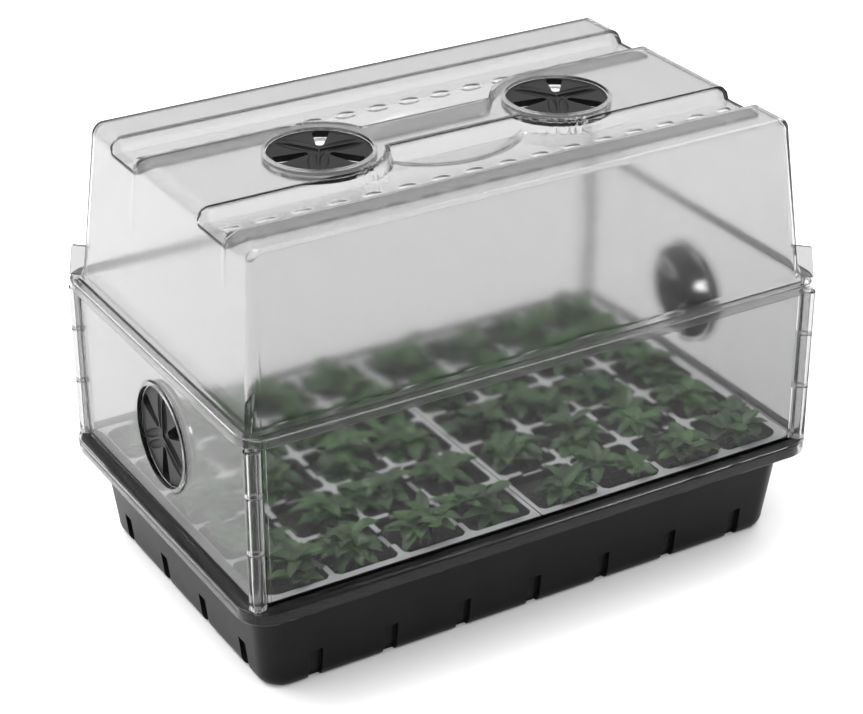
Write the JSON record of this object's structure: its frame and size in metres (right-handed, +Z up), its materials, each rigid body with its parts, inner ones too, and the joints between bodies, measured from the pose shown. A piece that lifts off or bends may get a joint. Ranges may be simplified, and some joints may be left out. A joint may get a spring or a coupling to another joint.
{
  "type": "humidity dome tray",
  "caption": "Black seed-starting tray with two plug inserts, a clear height extension and a clear vented humidity dome with rotary dials.",
  "frame": {"origin": "centre of the tray's underside, on the floor", "axes": "+X along the tray's length, +Y across it to the back, +Z up"},
  "size_m": [0.4026, 0.2574, 0.2842],
  "materials": {
    "tray_black": "satin black moulded plastic",
    "insert_black": "thin formed black plastic",
    "dial_black": "satin dark plastic",
    "clear": "clear moulded plastic with a light haze"
  },
  "bodies": {
    "base": {"base_tray": "tray_black"},
    "left_insert": {"plug_insert_left": "insert_black"},
    "right_insert": {"plug_insert_right": "insert_black"},
    "extension": {"front_panel": "clear", "back_panel": "clear", "left_panel": "clear", "right_panel": "clear", "corner_pin_front_left": "clear", "corner_pin_back_left": "clear", "corner_pin_front_right": "clear", "corner_pin_back_right": "clear", "vent_seat_left": "clear", "vent_seat_right": "clear"},
    "dome": {"dome_lid": "clear", "vent_seat_top_left": "clear", "vent_seat_top_right": "clear"},
    "dial_top_left": {"vent_dial_top_left": "dial_black", "vent_clip_top_left": "dial_black"},
    "dial_top_right": {"vent_dial_top_right": "dial_black", "vent_clip_top_right": "dial_black"},
    "dial_left": {"vent_dial_left": "dial_black", "vent_clip_left": "dial_black"},
    "dial_right": {"vent_dial_right": "dial_black", "vent_clip_right": "dial_black"}
  },
  "joints": [
    {"name": "left_insert_lift", "type": "slide", "parent": "base", "child": "left_insert", "axis": [0, 0, 1], "range_m": [0, 0.018]},
    {"name": "right_insert_lift", "type": "slide", "parent": "base", "child": "right_insert", "axis": [0, 0, 1], "range_m": [0, 0.018]},
    {"name": "extension_lift", "type": "slide", "parent": "base", "child": "extension", "axis": [0, 0, 1], "range_m": [0, 0.15]},
    {"name": "dome_lift", "type": "slide", "parent": "extension", "child": "dome", "axis": [0, 0, 1], "range_m": [0, 0.15]},
    {"name": "vent_turn_top_left", "type": "hinge", "parent": "dome", "child": "dial_top_left", "pos_m": [-0.0825, 0, 0.2813], "axis": [0, 0, 1], "range_deg": [0, 60]},
    {"name": "vent_turn_top_right", "type": "hinge", "parent": "dome", "child": "dial_top_right", "pos_m": [0.0825, 0, 0.2813], "axis": [0, 0, 1], "range_deg": [0, 60]},
    {"name": "vent_turn_left", "type": "hinge", "parent": "extension", "child": "dial_left", "pos_m": [-0.1912, 0, 0.122], "axis": [-1, 0, 0], "range_deg": [0, 60]},
    {"name": "vent_turn_right", "type": "hinge", "parent": "extension", "child": "dial_right", "pos_m": [0.1912, 0, 0.122], "axis": [1, 0, 0], "range_deg": [0, 60]}
  ]
}
